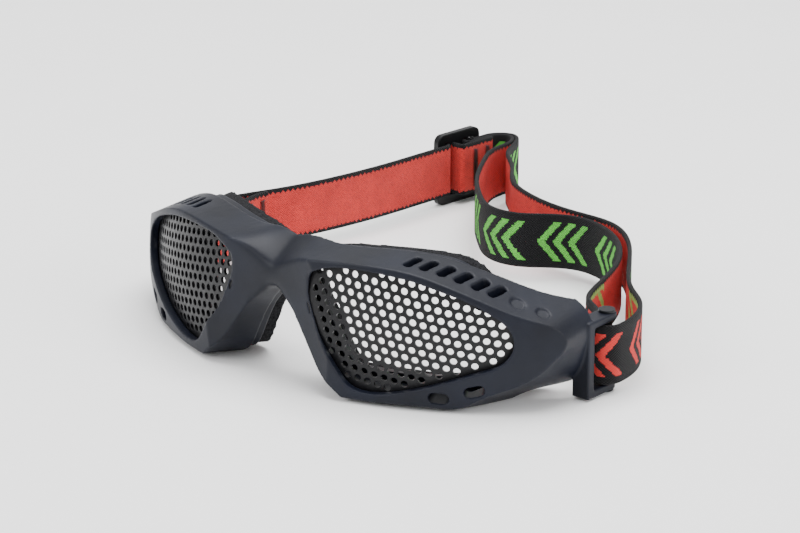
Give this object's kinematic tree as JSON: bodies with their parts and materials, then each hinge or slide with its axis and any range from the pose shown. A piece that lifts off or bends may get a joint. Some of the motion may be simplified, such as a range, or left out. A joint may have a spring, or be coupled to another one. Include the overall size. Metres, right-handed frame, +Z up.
{
  "type": "protective goggles",
  "caption": "Wrap-around sports protective goggles with perforated steel lenses, a vented moulded frame and an adjustable woven elastic headband",
  "frame": {"origin": "on the surface that the goggles stand on, in the plane of symmetry of the frame, at the front of the nose bridge", "axes": "+X is the wearer's left, +Y points from the lenses to the back of the head, +Z is up"},
  "size_m": [0.1871, 0.207, 0.0475],
  "materials": {
    "frame_plastic": "satin moulded plastic with a fine grain, blue-black",
    "lens_steel": "black painted perforated sheet steel",
    "foam": "closed-cell foam with a cloth face",
    "bar_plastic": "satin black plastic",
    "webbing": "woven elastic, coral inside, black outside with a green and coral geometric motif",
    "thread": "black polyester thread",
    "slider_plastic": "black moulded plastic"
  },
  "bodies": {
    "frame": {"front_frame": "frame_plastic", "rear_frame": "frame_plastic", "mesh_lens_left": "lens_steel", "mesh_lens_right": "lens_steel", "foam_gasket_left": "foam", "foam_gasket_right": "foam", "strap_bar_left": "bar_plastic", "strap_bar_right": "bar_plastic"},
    "band": {"headband": "webbing", "tack_right": "thread"},
    "slider": {"slider": "slider_plastic", "tack_slider": "thread"}
  },
  "joints": [
    {"name": "strap_lift", "type": "hinge", "parent": "frame", "child": "band", "pos_m": [0, 0.066, 0.0137], "axis": [1, 0, 0], "range_deg": [-25, 35], "deforming": ["headband"]},
    {"name": "slider_slide", "type": "slide", "parent": "band", "child": "slider", "axis": [0.0885, 0.9961, 0], "range_m": [-0.045, 0.004], "deforming": ["headband"]}
  ]
}
